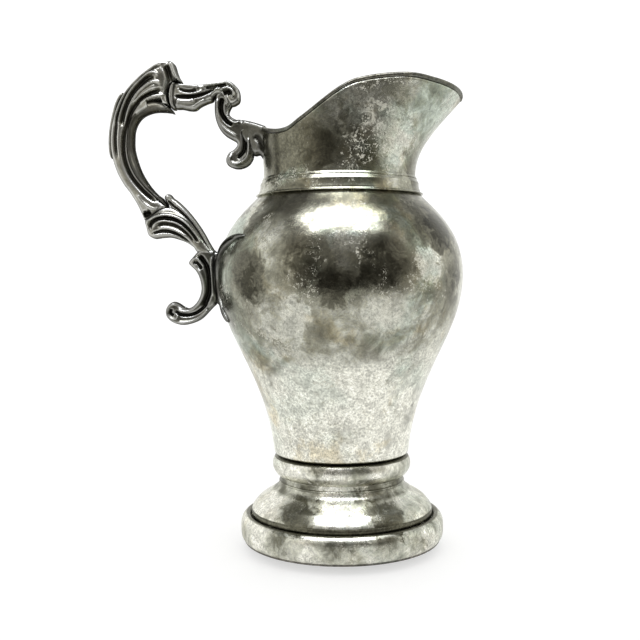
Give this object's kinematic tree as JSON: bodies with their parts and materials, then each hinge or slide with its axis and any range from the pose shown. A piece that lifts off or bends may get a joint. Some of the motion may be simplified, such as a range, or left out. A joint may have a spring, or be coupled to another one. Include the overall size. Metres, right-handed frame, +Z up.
{
  "type": "silver cream jug",
  "caption": "Footed baluster cream jug in tarnished silver, with a raised pouring lip and a cast scroll handle.",
  "frame": {"origin": "middle of the foot's underside, on the axis of the turned body", "axes": "+Z up along the body's axis, +X towards the spout, -X towards the handle, +Y completes a right-handed set"},
  "size_m": [0.1019, 0.0702, 0.1374],
  "materials": {
    "foot_silver": "old silver plate, worn bright with frosty grey-green blotches and dark grooves",
    "body_silver": "glossy old silver plate, olive-brown tarnish above and mottled cream-grey below",
    "neck_silver": "glossy tarnished silver plate with dark and yellow-grey patches",
    "handle_silver": "cast silver plate, rubbed bright on the ridges and nearly black in the recesses",
    "plate_metal": "dull dark base metal"
  },
  "bodies": {
    "root": {"base_plate": "plate_metal", "foot_band": "foot_silver", "foot_dome": "foot_silver", "foot_collar": "foot_silver", "waist_ring": "foot_silver", "body_shell": "body_silver", "neck_band": "neck_silver", "pouring_neck": "neck_silver", "rim_wire": "neck_silver", "handle_grip": "handle_silver", "handle_inner_tongue": "handle_silver", "handle_back_rib": "handle_silver", "handle_lower_leaf": "handle_silver", "handle_lower_rib": "handle_silver", "handle_lower_scroll": "handle_silver", "handle_bead": "handle_silver", "handle_top_bar": "handle_silver", "handle_neck_scroll": "handle_silver", "handle_neck_bracket": "handle_silver", "handle_body_web": "handle_silver", "body_saddle": "handle_silver"}
  },
  "joints": []
}
